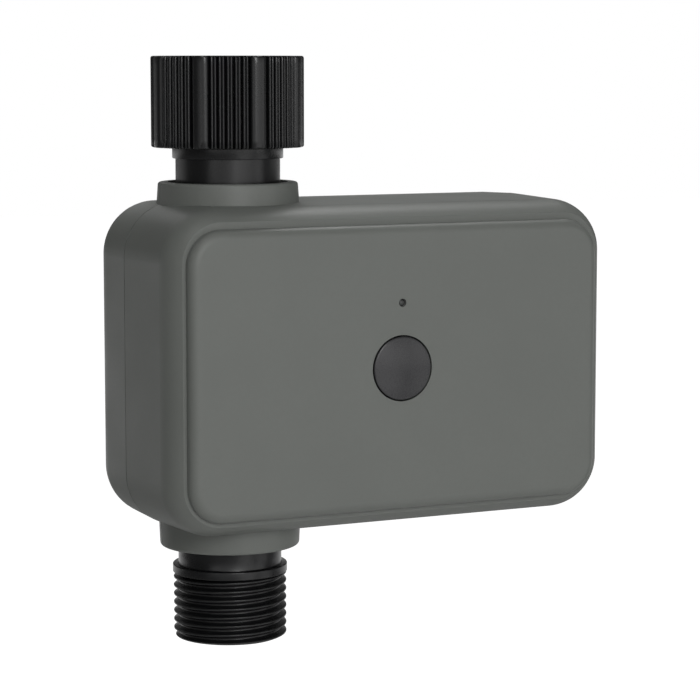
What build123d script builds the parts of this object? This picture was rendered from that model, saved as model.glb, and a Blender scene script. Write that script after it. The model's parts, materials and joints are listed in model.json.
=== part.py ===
from build123d import *
from math import acos, cos, pi, radians, sin, tan
import os

# Smart water timer that screws onto a garden tap. Millimetres, +Z up.
# The origin is on the valve's axis, in the mouth plane of the swivel nut.
# The front panel faces -Y and the housing reaches from the valve towards +X.

# Housing, seen from the front
body_width = 115.6         # at the seam, where both shells are widest
body_height = 76.7
body_left = 25.53          # valve axis to the housing's left side
corner_r = 13.0
shell_draft = 1.5          # degrees, from the seam to the front and to the rear
wall = 2.2
seam_y = 2.0               # plane where the two shells meet
rear_reach = 25.9          # valve axis to the rear face
rear_edge_r = 11.5
front_edge_r = 9.8
panel_reach = 27.8         # valve axis to the face of the raised panel
panel_height = 3.0         # the panel's face above the ledge round it
edge_cut = 2.8             # how far the front edge curve would go on without the ledge
panel_inset = 4.49         # left and right, from the housing's outline at the seam
panel_inset_z = 4.82       # top and bottom
panel_shift = (-0.22, -0.25)   # from the housing's middle to the panel's
panel_corner_r = 8.4
panel_edge_r = 2.3
seam_groove_width = 0.35
seam_groove_depth = 0.6
seam_seal_inset = 0.8
seam_seal_width = 0.7
seam_seal_depth = 0.8

# Collars round the inlet and the outlet
collar_r = 16.95           # where it leaves the inside of the wall
upper_collar_draft = 4.0   # degrees
lower_collar_draft = 2.5
collar_bore_r = 14.2
collar_edge_r = 0.7
upper_collar_height = 4.5
lower_collar_height = 5.3
neck_seal_height = 3.0
neck_seal_depth = 2.6      # collar rim to the seal inside it

# Valve tubes and their hose threads
neck_r = 12.33
tube_bore_r = 9.0
neck_show = 5.5            # upper collar to the nut's skirt
outlet_neck_show = 4.6     # lower collar to the outlet flange
outlet_flange_r = 13.69
outlet_flange_height = 2.0
thread_r = 13.5            # outside of the outlet's hose thread
thread_length = 15.5
thread_end_r = 12.9
thread_end_height = 0.6

# Swivel nut
nut_height = 21.3
nut_groove_r = 16.6        # bottom of the grooves between the ribs
nut_rib_r = 17.95
nut_lobe_r = 18.3
nut_lobe_round = 2.1
nut_sectors = 8
nut_ribs = 5               # fine ribs between two lobes
nut_rib_pitch = 6.0        # degrees
nut_rib_width = 1.3
nut_turn = 0.6             # degrees, turns the lobes to where the nut stops
nut_bore_r = 13.6
nut_bore_depth = 12.0
nut_relief_r = 14.0        # room for the washer under the thread
nut_floor = 3.0
nut_skirt_r = 13.08
nut_skirt_height = 2.6
swivel_clearance = 0.1
tube_flange_r = 13.2
washer_height = 3.0
washer_bore_r = 8.6
filter_wall = 0.8
filter_depth = 8.0
filter_clearance = 0.5

# Ball valve
ball_drop = 18.1           # housing's top to the ball's centre
ball_r = 10.0
ball_bore_r = 7.0
ball_clearance = 0.05
seat_end = 10.2            # ball's centre to the far end of a seat
seat_start = 6.9
seat_r = 11.0
seat_bore_r = 7.0
chamber_r = 14.4
chamber_half = 15.0
socket_clearance = 0.05
ring_groove_width = 2.0
ring_groove_depth = 1.3
ring_groove_from_ball = 12.5
stem_r = 3.0
stem_slot_floor = 7.9      # ball's centre to the floor of its slot
stem_slot_width = 4.0
stem_slot_length = 7.6
stem_boss_r = 6.0
stem_ring_depth = 1.0
stem_ring_width = 1.3
stem_ring_places = (14.0, 17.5)
running_clearance = 0.05

# Gearbox beside the valve
gearbox_left = 21.5
gearbox_depth = 10.7
gearbox_lid = 1.6
gearbox_wall = 1.4
gearbox_corner_r = 6.0
gearbox_low_y = -11.5
gearbox_high_y = 20.1
gearbox_below = 11.6       # ball's centre to the gearbox's underside
gearbox_above = 15.3
gear_module = 0.6
gear_backlash = 0.16
output_teeth = 30
small_teeth = 10
large_teeth = 24
pinion_teeth = 10
gear_width = 4.0
gear_gap = 0.6             # between the two planes of gears
gear_floor_gap = 0.4
large_gear_width = 3.6
compound_direction = 29.0  # degrees up from +Y, from the stem to the compound gear
motor_direction = -78.0    # degrees, from the compound gear to the motor
gear_pin_r = 1.0
motor_shaft_r = 1.0
motor_shaft_gap = 0.2
motor_width = 12.0
motor_height = 10.0
motor_gearhead = 9.0
motor_can = 15.5
motor_end = 1.6
motor_flat = 2.0           # flat height left on the can's narrow sides
motor_boss_r = 2.0
gearbox_screw_r = 1.0
gearbox_screw_head_r = 1.9
gearbox_screw_head = 1.3
gearbox_screw_inset = 3.1
gearbox_third_screw = -1.8 # from the gearbox's middle, clear of both gears

# Battery bay for four AA cells in two layers
cell_r = 7.25
cell_body = 49.5
cell_nub = 1.0
cell_nub_r = 2.75
cell_gap = 0.3
contact_thickness = 0.4
contact_size = 12.0
spring_length = 4.0
spring_base_r = 4.6
spring_top_r = 2.8
spring_wall = 0.8
bay_wall = 1.6
bay_from_valve = 0.4       # valve chamber to the bay's end wall
bay_below_ball = 29.7      # ball's centre to the bay's centre
door_thickness = 2.2
door_seal_height = 0.8
door_seal_width = 1.2
door_seal_gap = 0.6
door_rim = 1.0
door_rim_height = 1.6
door_gap = 0.25
door_corner_r = 5.0
door_margin = 2.8          # bay's opening to the door's long edges
door_end_margin = 3.8      # screw's centre to the door's short edges
ledge_thickness = 2.0
door_screw_from_bay = 5.1
door_screw_r = 1.5
door_screw_hole_r = 1.6
door_screw_boss_r = 3.2
door_screw_head_r = 2.8
door_screw_head = 1.2
door_screw_length = 9.0

# Screws that close the housing
boss_r = 4.0
boss_side_inset = 6.5
boss_end_inset = 10.6
boss_middle_x = 18.0
case_screw_r = 1.5
case_screw_head_r = 2.7
case_screw_head = 2.2
case_screw_sunk = 6.0      # rear face to the seat of the screw's head
case_screw_length = 30.0
head_clearance = 0.2

# Button, light and circuit board behind the front panel
button_hole_r = 7.8
button_r = 7.5
button_proud = 1.0         # panel's face to the top of the button's dome
button_dome = 0.35
button_flange_r = 8.7
button_flange = 1.0
button_flange_gap = 0.1
button_stem_r = 2.0
button_travel = 0.5
light_hole_r = 0.95
light_above_button = 15.35
light_recess = 0.4
light_flange_r = 2.0
light_flange = 0.8
light_pin_r = 1.3
well_r = 9.3
well_wall = 1.2
button_seal_height = 0.6
board_width = 60.0
board_height = 52.0
board_offset = 15.8        # button's centre to the board's middle
board_thickness = 1.6
board_corner_r = 2.0
board_behind_panel = 9.4   # panel's face to the board's front
board_boss_r = 2.6
board_boss_inset = 4.0
board_screw_r = 1.0
board_screw_head_r = 2.0
board_screw_head = 1.4
board_screw_length = 5.0
switch_size = 6.0
switch_height = 3.6
switch_plunger_r = 1.7
switch_corner_r = 0.5
plunger_seat = 1.2         # how far the plunger reaches into the switch
light_chip = (2.0, 1.25, 0.8)
radio_size = (24.0, 16.0)
radio_board = 0.8
radio_can = 2.2
radio_antenna = 6.0        # bare end of the radio's own board
radio_place = (12.0, 10.0)
capacitor_r = 3.15
capacitor_length = 11.0
capacitor_place = (4.0, 18.0)
connector_size = (7.0, 5.0)
connector_height = 5.5
connector_places = [(-6.0, 14.0), (-6.0, -16.0)]

# Heights along the valve's axis, from the nut's mouth down
nut_bottom_z = -nut_height
skirt_bottom_z = nut_bottom_z - nut_skirt_height
collar_top_z = skirt_bottom_z - neck_show
body_top_z = collar_top_z - upper_collar_height
body_bottom_z = body_top_z - body_height
collar_bottom_z = body_bottom_z - lower_collar_height
outlet_flange_z = collar_bottom_z - outlet_neck_show
thread_top_z = outlet_flange_z - outlet_flange_height
outlet_end_z = thread_top_z - thread_length
ball_z = body_top_z - ball_drop
body_mid_x = body_width / 2 - body_left
body_mid_z = (body_top_z + body_bottom_z) / 2
panel_mid_x = body_mid_x + panel_shift[0]
panel_mid_z = body_mid_z + panel_shift[1]
ledge_reach = panel_reach - panel_height
front_reach = ledge_reach + edge_cut


def face_plane(y, x=body_mid_x, z=body_mid_z):
    """Plane across the housing's depth at y, with its normal to the front."""
    return Plane(origin=(x, y, z), x_dir=(1, 0, 0), z_dir=(0, -1, 0))


def panel_plane(y, up=0.0):
    """Plane like face_plane on the panel's middle, where the button is, or above it."""
    return face_plane(y, panel_mid_x, panel_mid_z + up)


def side_plane(x, y=0.0, z=ball_z):
    """Plane across the stem at x, with its first direction along +Y."""
    return Plane(origin=(x, y, z), x_dir=(0, 1, 0), z_dir=(1, 0, 0))


def housing_block(depth, inset, edge_r, end):
    """Rounded, drafted block from the seam to the front or the rear, with its far edge rounded."""
    with BuildPart() as block:
        with BuildSketch(face_plane(seam_y)):
            RectangleRounded(body_width - 2 * inset, body_height - 2 * inset, corner_r - inset)
        extrude(amount=depth, taper=shell_draft)
        far_face = block.faces().sort_by(Axis.Y)[end]
        fillet(far_face.edges(), edge_r - inset)
    return block.part


front_block = housing_block(front_reach + seam_y, 0, front_edge_r, 0)
front_cavity = housing_block(front_reach + seam_y - wall, wall, front_edge_r, 0)
rear_block = housing_block(seam_y - rear_reach, 0, rear_edge_r, -1)
rear_cavity = housing_block(seam_y - rear_reach + wall, wall, rear_edge_r, -1)

# Both collars, whole, before the seam divides them
with BuildPart() as collars:
    with BuildSketch(Plane.XY.offset(body_top_z - wall)):
        Circle(collar_r)
    extrude(amount=upper_collar_height + wall, taper=upper_collar_draft)
    upper_rim = collars.faces().sort_by(Axis.Z)[-1]
    fillet(upper_rim.edges(), collar_edge_r)
    with BuildSketch(Plane.XY.offset(body_bottom_z + wall)):
        Circle(collar_r)
    extrude(amount=-lower_collar_height - wall, taper=lower_collar_draft)
    lower_rim = collars.faces().sort_by(Axis.Z)[0]
    fillet(lower_rim.edges(), collar_edge_r)

# Passage for the valve tubes through both collars
with BuildPart() as collar_passage:
    with BuildSketch(Plane.XY.offset(collar_bottom_z)):
        Circle(collar_bore_r)
    extrude(amount=collar_top_z - collar_bottom_z)

# Screw posts in both shells, from the housing's middle
corner_x = body_width / 2 - boss_side_inset
corner_z = body_height / 2 - boss_end_inset
middle_z = body_height / 2 - boss_side_inset
boss_places = [
    (-corner_x, -corner_z),
    (-corner_x, corner_z),
    (corner_x, -corner_z),
    (corner_x, corner_z),
    (boss_middle_x, -middle_z),
    (boss_middle_x, middle_z),
]
case_screw_seat_y = rear_reach - case_screw_sunk
case_screw_tip_y = case_screw_seat_y - case_screw_length

# Button and board, from the front panel inwards
panel_back_y = wall - front_reach
board_front_y = board_behind_panel - panel_reach
board_back_y = board_front_y + board_thickness
board_mid_x = panel_mid_x + board_offset
board_mid_z = panel_mid_z
switch_front_y = board_front_y - switch_height
board_boss_places = [
    (sx * (board_width / 2 - board_boss_inset), sz * (board_height / 2 - board_boss_inset))
    for sx in (-1, 1)
    for sz in (-1, 1)
]

# Posts of both shells end inside the thickness of the wall
front_core = housing_block(front_reach + seam_y - wall / 2, wall / 2, front_edge_r, 0)
rear_core = housing_block(seam_y - rear_reach + wall / 2, wall / 2, rear_edge_r, -1)

with BuildPart() as front_posts:
    with BuildSketch(face_plane(seam_y)):
        with Locations(boss_places):
            Circle(boss_r)
    extrude(amount=seam_y - panel_back_y)
    add(front_core, mode=Mode.INTERSECT)

with BuildPart() as rear_posts:
    with BuildSketch(face_plane(seam_y)):
        with Locations(boss_places):
            Circle(boss_r)
    extrude(amount=seam_y - rear_reach + wall / 2)
    add(rear_core, mode=Mode.INTERSECT)

with BuildPart() as front_cover:
    add(front_block)
    split(bisect_by=face_plane(-ledge_reach), keep=Keep.BOTTOM)
    with BuildSketch(panel_plane(-ledge_reach)):
        RectangleRounded(body_width - 2 * panel_inset, body_height - 2 * panel_inset_z, panel_corner_r)
    extrude(amount=panel_reach - ledge_reach)
    panel_face = front_cover.faces().sort_by(Axis.Y)[0]
    fillet(panel_face.edges(), panel_edge_r)
    add(collars.part)
    split(bisect_by=face_plane(seam_y), keep=Keep.TOP)
    add(front_cavity, mode=Mode.SUBTRACT)
    add(collar_passage.part, mode=Mode.SUBTRACT)
    # Screw posts, with the pilot holes that the case screws cut into
    add(front_posts.part)
    with BuildSketch(face_plane(seam_y)):
        with Locations(boss_places):
            Circle(case_screw_r)
    extrude(amount=seam_y - case_screw_tip_y, mode=Mode.SUBTRACT)
    # Four posts that carry the board
    with BuildSketch(face_plane(panel_back_y, board_mid_x, board_mid_z)):
        with Locations(board_boss_places):
            Circle(board_boss_r)
    extrude(amount=panel_back_y - board_front_y)
    with BuildSketch(face_plane(board_front_y, board_mid_x, board_mid_z)):
        with Locations(board_boss_places):
            Circle(board_screw_r)
    extrude(amount=board_screw_length - board_thickness, mode=Mode.SUBTRACT)
    # Round well behind the button
    with BuildSketch(panel_plane(board_front_y - button_seal_height)):
        Circle(well_r + well_wall)
        Circle(well_r, mode=Mode.SUBTRACT)
    extrude(amount=board_front_y - button_seal_height - panel_back_y)
    # Button and light holes
    with BuildSketch(panel_plane(panel_back_y)):
        Circle(button_hole_r)
    extrude(amount=panel_reach + panel_back_y, mode=Mode.SUBTRACT)
    with BuildSketch(panel_plane(panel_back_y, light_above_button)):
        Circle(light_hole_r)
    extrude(amount=panel_reach + panel_back_y, mode=Mode.SUBTRACT)

# Battery bay: its length is the contacts, a cell and a pressed spring
cell_pitch = 2 * cell_r + cell_gap
bay_length = 2 * contact_thickness + spring_length + cell_body + cell_nub
bay_height = 2 * cell_pitch
bay_left_x = chamber_r + bay_from_valve + bay_wall
bay_mid_x = bay_left_x + bay_length / 2
bay_mid_z = ball_z - bay_below_ball
ledge_y = rear_reach - door_thickness - door_seal_height
bay_floor_y = ledge_y - 2 * cell_pitch
door_back_y = rear_reach - door_thickness
screw_reach = bay_length / 2 + door_screw_from_bay
door_width = 2 * (screw_reach + door_end_margin)
door_height = bay_height + 2 * door_margin
door_screw_places = [(-screw_reach, 0), (screw_reach, 0)]
door_screw_seat_y = rear_reach - door_screw_head
door_screw_tip_y = door_screw_seat_y - door_screw_length
boss_tip_y = door_screw_tip_y - bay_wall


def bay_plane(y):
    """Plane across the battery bay at y, centred on the bay."""
    return face_plane(y, bay_mid_x, bay_mid_z)


with BuildPart() as rear_housing:
    add(rear_block)
    add(collars.part)
    split(bisect_by=face_plane(seam_y), keep=Keep.BOTTOM)
    add(rear_cavity, mode=Mode.SUBTRACT)
    add(collar_passage.part, mode=Mode.SUBTRACT)
    # Fine groove that marks the seam all round
    with BuildSketch(face_plane(seam_y)):
        RectangleRounded(body_width, body_height, corner_r)
        with Locations((-body_mid_x, 0)):
            Rectangle(2 * collar_r, 2 * body_height)
        offset(amount=-seam_groove_depth, mode=Mode.SUBTRACT)
    extrude(amount=-seam_groove_width, mode=Mode.SUBTRACT)
    # Groove for the seam's seal
    with BuildSketch(face_plane(seam_y)) as seam_track:
        RectangleRounded(
            body_width - 2 * seam_seal_inset,
            body_height - 2 * seam_seal_inset,
            corner_r - seam_seal_inset,
        )
        offset(amount=-seam_seal_width, mode=Mode.SUBTRACT)
        with Locations((-body_mid_x, 0)):
            Rectangle(2 * collar_r, body_height, mode=Mode.SUBTRACT)
    extrude(amount=-seam_seal_depth, mode=Mode.SUBTRACT)
    add(rear_posts.part)
    # Battery bay, its sealing ledge and the two screw bosses
    with BuildSketch(bay_plane(bay_floor_y - bay_wall)):
        RectangleRounded(bay_length + 2 * bay_wall, bay_height + 2 * bay_wall, bay_wall)
    extrude(amount=bay_floor_y - bay_wall - door_back_y)
    with BuildSketch(bay_plane(ledge_y - ledge_thickness)):
        RectangleRounded(door_width + 2 * bay_wall, door_height + 2 * bay_wall, door_corner_r + bay_wall)
    extrude(amount=ledge_y - ledge_thickness - door_back_y)
    with BuildSketch(bay_plane(boss_tip_y)):
        with Locations(door_screw_places):
            Circle(door_screw_boss_r)
    extrude(amount=boss_tip_y - ledge_y)
    with BuildSketch(bay_plane(ledge_y)):
        RectangleRounded(door_width + 2 * door_gap, door_height + 2 * door_gap, door_corner_r + door_gap)
    extrude(amount=ledge_y - rear_reach, mode=Mode.SUBTRACT)
    with BuildSketch(bay_plane(bay_floor_y)):
        Rectangle(bay_length, bay_height)
    extrude(amount=bay_floor_y - rear_reach, mode=Mode.SUBTRACT)
    # Pads under the door's ends, and the holes for its screws
    with BuildSketch(bay_plane(ledge_y)):
        with Locations(door_screw_places):
            Circle(door_screw_boss_r)
    extrude(amount=ledge_y - door_back_y)
    with BuildSketch(bay_plane(door_screw_tip_y)):
        with Locations(door_screw_places):
            Circle(door_screw_hole_r)
    extrude(amount=door_screw_tip_y - door_back_y, mode=Mode.SUBTRACT)
    # Holes for the case screws, with room for their heads
    with BuildSketch(face_plane(seam_y)):
        with Locations(boss_places):
            Circle(case_screw_r)
    extrude(amount=seam_y - rear_reach, mode=Mode.SUBTRACT)
    with BuildSketch(face_plane(case_screw_seat_y)):
        with Locations(boss_places):
            Circle(case_screw_head_r + head_clearance)
    extrude(amount=-case_screw_sunk, mode=Mode.SUBTRACT)

with BuildPart() as seam_seal:
    with BuildSketch(face_plane(seam_y)):
        add(seam_track.sketch_local)
    extrude(amount=-seam_seal_depth)

with BuildPart() as case_screws:
    with BuildSketch(face_plane(case_screw_tip_y)):
        with Locations(boss_places):
            Circle(case_screw_r)
    extrude(amount=-case_screw_length)
    with BuildSketch(face_plane(case_screw_seat_y)):
        with Locations(boss_places):
            Circle(case_screw_head_r)
    extrude(amount=-case_screw_head)
    with BuildSketch(face_plane(case_screw_seat_y + case_screw_head)):
        with Locations(boss_places):
            RegularPolygon(case_screw_head_r / 2, 6)
    extrude(amount=case_screw_head / 2, mode=Mode.SUBTRACT)

with BuildPart() as battery_door:
    with BuildSketch(bay_plane(rear_reach)):
        RectangleRounded(door_width, door_height, door_corner_r)
    extrude(amount=door_thickness)
    add(rear_block, mode=Mode.INTERSECT)
    # Rim that centres the door in the bay's mouth
    with BuildSketch(bay_plane(door_back_y)):
        Rectangle(bay_length - 2 * door_gap, bay_height - 2 * door_gap)
        offset(amount=-door_rim, kind=Kind.INTERSECTION, mode=Mode.SUBTRACT)
    extrude(amount=door_rim_height)
    with BuildSketch(bay_plane(rear_reach)):
        with Locations(door_screw_places):
            Circle(door_screw_hole_r)
    extrude(amount=door_thickness, mode=Mode.SUBTRACT)
    with BuildSketch(bay_plane(rear_reach)):
        with Locations(door_screw_places):
            Circle(door_screw_head_r + head_clearance)
    extrude(amount=door_screw_head, mode=Mode.SUBTRACT)

with BuildPart() as door_seal:
    with BuildSketch(bay_plane(door_back_y)):
        RectangleRounded(
            bay_length + 2 * (door_seal_gap + door_seal_width),
            bay_height + 2 * (door_seal_gap + door_seal_width),
            door_seal_gap + door_seal_width,
        )
        RectangleRounded(
            bay_length + 2 * door_seal_gap,
            bay_height + 2 * door_seal_gap,
            door_seal_gap,
            mode=Mode.SUBTRACT,
        )
    extrude(amount=door_seal_height)

with BuildPart() as door_screws:
    with BuildSketch(bay_plane(door_screw_tip_y)):
        with Locations(door_screw_places):
            Circle(door_screw_r)
    extrude(amount=-door_screw_length)
    with BuildSketch(bay_plane(door_screw_seat_y)):
        with Locations(door_screw_places):
            Circle(door_screw_head_r)
    extrude(amount=-door_screw_head)
    with BuildSketch(bay_plane(rear_reach)):
        with Locations(door_screw_places):
            Rectangle(2 * door_screw_head_r, door_screw_r / 2)
    extrude(amount=door_screw_head / 2, mode=Mode.SUBTRACT)

# Cells lie along X, two high and two deep, with their nubs at alternate ends
cell_rows = [(row, layer) for row in (-1, 1) for layer in (0, 1)]
bay_right_x = bay_left_x + bay_length


def cell_centre(row, layer):
    """Y and Z of a cell's axis."""
    return ledge_y - cell_pitch * (layer + 0.5), bay_mid_z + row * cell_pitch / 2


def nub_side(row, layer):
    """1 where the cell's nub points to +X, -1 where it points to -X."""
    return row if layer == 0 else -row


def bay_end(side):
    """X of the bay's end wall on one side."""
    return bay_right_x if side > 0 else bay_left_x


with BuildPart() as battery_cells:
    for row, layer in cell_rows:
        y, z = cell_centre(row, layer)
        side = nub_side(row, layer)
        nub_tip = bay_end(side) - side * contact_thickness
        with BuildSketch(side_plane(nub_tip - side * cell_nub, y, z)):
            Circle(cell_r)
        extrude(amount=-side * cell_body)
        with BuildSketch(side_plane(nub_tip, y, z)):
            Circle(cell_nub_r)
        extrude(amount=-side * cell_nub)

with BuildPart() as contact_plates:
    for row, layer in cell_rows:
        y, z = cell_centre(row, layer)
        for side in (-1, 1):
            with BuildSketch(side_plane(bay_end(side), y, z)):
                RectangleRounded(contact_size, contact_size, contact_thickness)
            extrude(amount=-side * contact_thickness)

# Pressed cone springs, each a hollow cone of the spring's outer shape
with BuildPart() as battery_springs:
    for row, layer in cell_rows:
        y, z = cell_centre(row, layer)
        side = -nub_side(row, layer)
        base_x = bay_end(side) - side * contact_thickness
        for thinner, mode in ((0, Mode.ADD), (spring_wall, Mode.SUBTRACT)):
            with BuildSketch(side_plane(base_x, y, z)):
                Circle(spring_base_r - thinner)
            with BuildSketch(side_plane(base_x - side * spring_length, y, z)):
                Circle(spring_top_r - thinner)
            loft(mode=mode)

# Swivel nut: eight smooth lobes, with fine ribs between them, round a threaded bore
rib_angles = [
    nut_turn + 360 / nut_sectors * (sector + 0.5) + nut_rib_pitch * (rib - (nut_ribs - 1) / 2)
    for sector in range(nut_sectors)
    for rib in range(nut_ribs)
]
nut_floor_z = nut_bottom_z + nut_floor

with BuildPart() as swivel_nut:
    with BuildSketch(Plane.XY.offset(nut_bottom_z)):
        Circle(nut_groove_r)
        with PolarLocations(nut_lobe_r - nut_lobe_round, nut_sectors, start_angle=nut_turn):
            Circle(nut_lobe_round)
        for angle in rib_angles:
            with Locations(Rot(0, 0, angle)):
                with Locations(((nut_groove_r + nut_rib_r) / 2 - nut_rib_width / 2, 0)):
                    Rectangle(nut_rib_r - nut_groove_r + nut_rib_width, nut_rib_width)
    extrude(amount=nut_height)
    with BuildSketch(Plane.XY.offset(nut_bottom_z)):
        Circle(nut_skirt_r)
    extrude(amount=-nut_skirt_height)
    with BuildSketch(Plane.XY):
        Circle(nut_bore_r)
    extrude(amount=-nut_bore_depth, mode=Mode.SUBTRACT)
    with BuildSketch(Plane.XY.offset(-nut_bore_depth)):
        Circle(nut_relief_r)
    extrude(amount=nut_floor_z + nut_bore_depth, mode=Mode.SUBTRACT)
    with BuildSketch(Plane.XY.offset(nut_floor_z)):
        Circle(neck_r + swivel_clearance)
    extrude(amount=skirt_bottom_z - nut_floor_z, mode=Mode.SUBTRACT)

# Stack inside the nut, from the washer down to the tube's flange
filter_rim_z = -nut_bore_depth - washer_height
tube_top_z = filter_rim_z - filter_wall
tube_flange_z = nut_floor_z + swivel_clearance
filter_r = tube_bore_r - filter_clearance

with BuildPart() as inlet_washer:
    with BuildSketch(Plane.XY.offset(-nut_bore_depth)):
        Circle(tube_flange_r)
        Circle(washer_bore_r, mode=Mode.SUBTRACT)
    extrude(amount=-washer_height)

with BuildPart() as filter_screen:
    with BuildSketch(Plane.XY.offset(filter_rim_z)):
        Circle(tube_flange_r)
    extrude(amount=-filter_wall)
    with BuildSketch(Plane.XY.offset(filter_rim_z)):
        Circle(filter_r)
    extrude(amount=-filter_depth)
    with BuildSketch(Plane.XY.offset(filter_rim_z)):
        Circle(filter_r - filter_wall)
    extrude(amount=filter_wall - filter_depth, mode=Mode.SUBTRACT)


# Rings to cut round the tubes, where their seals sit
with BuildPart() as ring_grooves:
    for end in (-1, 1):
        with BuildSketch(Plane.XY.offset(ball_z + end * ring_groove_from_ball - ring_groove_width / 2)):
            Circle(neck_r)
            Circle(neck_r - ring_groove_depth, mode=Mode.SUBTRACT)
        extrude(amount=ring_groove_width)

with BuildPart() as inlet_tube:
    with BuildSketch(Plane.XY.offset(ball_z + seat_end)):
        Circle(neck_r)
    extrude(amount=tube_top_z - ball_z - seat_end)
    with BuildSketch(Plane.XY.offset(tube_flange_z)):
        Circle(tube_flange_r)
    extrude(amount=tube_top_z - tube_flange_z)
    with BuildSketch(Plane.XY.offset(ball_z + seat_end)):
        Circle(tube_bore_r)
    extrude(amount=tube_top_z - ball_z - seat_end, mode=Mode.SUBTRACT)
    add(ring_grooves.part, mode=Mode.SUBTRACT)

with BuildPart() as outlet_tube:
    with BuildSketch(Plane.XZ):
        with BuildLine():
            Polyline(
                (tube_bore_r, ball_z - seat_end),
                (neck_r, ball_z - seat_end),
                (neck_r, outlet_flange_z),
                (outlet_flange_r, outlet_flange_z),
                (outlet_flange_r, thread_top_z),
                (thread_r, thread_top_z),
                (thread_r, outlet_end_z + thread_end_height),
                (thread_end_r, outlet_end_z),
                (tube_bore_r, outlet_end_z),
                close=True,
            )
        make_face()
    revolve(axis=Axis.Z)
    add(ring_grooves.part, mode=Mode.SUBTRACT)

with BuildPart() as neck_seals:
    for seal_top_z in (collar_top_z - neck_seal_depth, collar_bottom_z + neck_seal_depth + neck_seal_height):
        with BuildSketch(Plane.XY.offset(seal_top_z)):
            Circle(collar_bore_r)
            Circle(neck_r, mode=Mode.SUBTRACT)
        extrude(amount=-neck_seal_height)

# Valve body round the ball, with a boss for the stem
socket_r = neck_r + socket_clearance
chamber_bore_r = seat_r + socket_clearance

with BuildPart() as valve_body:
    with BuildSketch(Plane.XY.offset(ball_z - chamber_half)):
        Circle(chamber_r)
    extrude(amount=2 * chamber_half)
    with BuildSketch(side_plane(0)):
        Circle(stem_boss_r)
    extrude(amount=gearbox_left)
    with BuildSketch(Plane.XY.offset(ball_z - chamber_half)):
        Circle(chamber_bore_r)
    extrude(amount=2 * chamber_half, mode=Mode.SUBTRACT)
    for end in (-1, 1):
        with BuildSketch(Plane.XY.offset(ball_z + end * seat_end)):
            Circle(socket_r)
        extrude(amount=end * (chamber_half - seat_end), mode=Mode.SUBTRACT)
    with BuildSketch(side_plane(0)):
        Circle(stem_r + running_clearance)
    extrude(amount=gearbox_left, mode=Mode.SUBTRACT)

with BuildPart() as ball_seats:
    for end in (-1, 1):
        with BuildSketch(Plane.XY.offset(ball_z + end * seat_start)):
            Circle(seat_r)
            Circle(seat_bore_r, mode=Mode.SUBTRACT)
        extrude(amount=end * (seat_end - seat_start))
    with Locations((0, 0, ball_z)):
        Sphere(ball_r + ball_clearance, mode=Mode.SUBTRACT)

with BuildPart() as tube_seals:
    ring_r = (ring_groove_depth + socket_clearance) / 2
    for end in (-1, 1):
        with Locations((0, 0, ball_z + end * ring_groove_from_ball)):
            Torus(socket_r - ring_r, ring_r)

with BuildPart() as valve_ball:
    with Locations((0, 0, ball_z)):
        Sphere(ball_r)
    with BuildSketch(face_plane(ball_r, 0, ball_z)):
        Circle(ball_bore_r)
    extrude(amount=2 * ball_r, mode=Mode.SUBTRACT)
    with BuildSketch(side_plane(stem_slot_floor)):
        Rectangle(stem_slot_length, stem_slot_width)
    extrude(amount=ball_r, mode=Mode.SUBTRACT)

# Gear planes, from the gearbox's floor to its lid
gearbox_floor_x = gearbox_left + gearbox_wall
gearbox_lid_x = gearbox_left + gearbox_depth
gearbox_right_x = gearbox_lid_x + gearbox_lid
output_x = gearbox_floor_x + gear_floor_gap
large_x = output_x + gear_width + gear_gap
output_centre = (0.0, ball_z)
output_reach = gear_module * (output_teeth + small_teeth) / 2
compound_centre = (
    output_centre[0] + output_reach * cos(radians(compound_direction)),
    output_centre[1] + output_reach * sin(radians(compound_direction)),
)
pinion_reach = gear_module * (large_teeth + pinion_teeth) / 2
motor_centre = (
    compound_centre[0] + pinion_reach * cos(radians(motor_direction)),
    compound_centre[1] + pinion_reach * sin(radians(motor_direction)),
)
pressure_angle = radians(20)
tooth_top = 0.85           # heights above and below the pitch circle, in modules
tooth_root = 1.25


def involute(angle):
    """The involute function, for the flank of a tooth."""
    return tan(angle) - angle


def gear_points(teeth, turn):
    """Corner points of a spur gear with involute flanks; a tooth points along turn."""
    pitch_r = gear_module * teeth / 2
    base_r = pitch_r * cos(pressure_angle)
    root_r = pitch_r - tooth_root * gear_module
    tip_r = pitch_r + tooth_top * gear_module
    half_pitch = pi / (2 * teeth) - gear_backlash / (4 * pitch_r) + involute(pressure_angle)
    flank_radii = [root_r, max(root_r, base_r), pitch_r, (pitch_r + tip_r) / 2, tip_r]
    flank = []
    for r in flank_radii:
        lean = involute(acos(base_r / r)) if r > base_r else 0.0
        flank.append((r, half_pitch - lean))
    points = []
    for tooth in range(teeth):
        middle = radians(turn) + 2 * pi * tooth / teeth
        rise = [(r * cos(middle - a), r * sin(middle - a)) for r, a in flank]
        fall = [(r * cos(middle + a), r * sin(middle + a)) for r, a in reversed(flank)]
        points += rise + fall
    return points


def gear(x, centre, teeth, turn, width, bore_r):
    """Spur gear on a bore, from x towards +X."""
    with BuildPart() as wheel:
        with BuildSketch(side_plane(x, *centre)):
            with BuildLine():
                Polyline(*gear_points(teeth, turn), close=True)
            make_face()
            Circle(bore_r, mode=Mode.SUBTRACT)
        extrude(amount=width)
    return wheel.part


def facing_gap(teeth, direction):
    """Turn that puts a gear's gap where its partner's tooth comes from."""
    return direction + 180 + 180 / teeth


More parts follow.
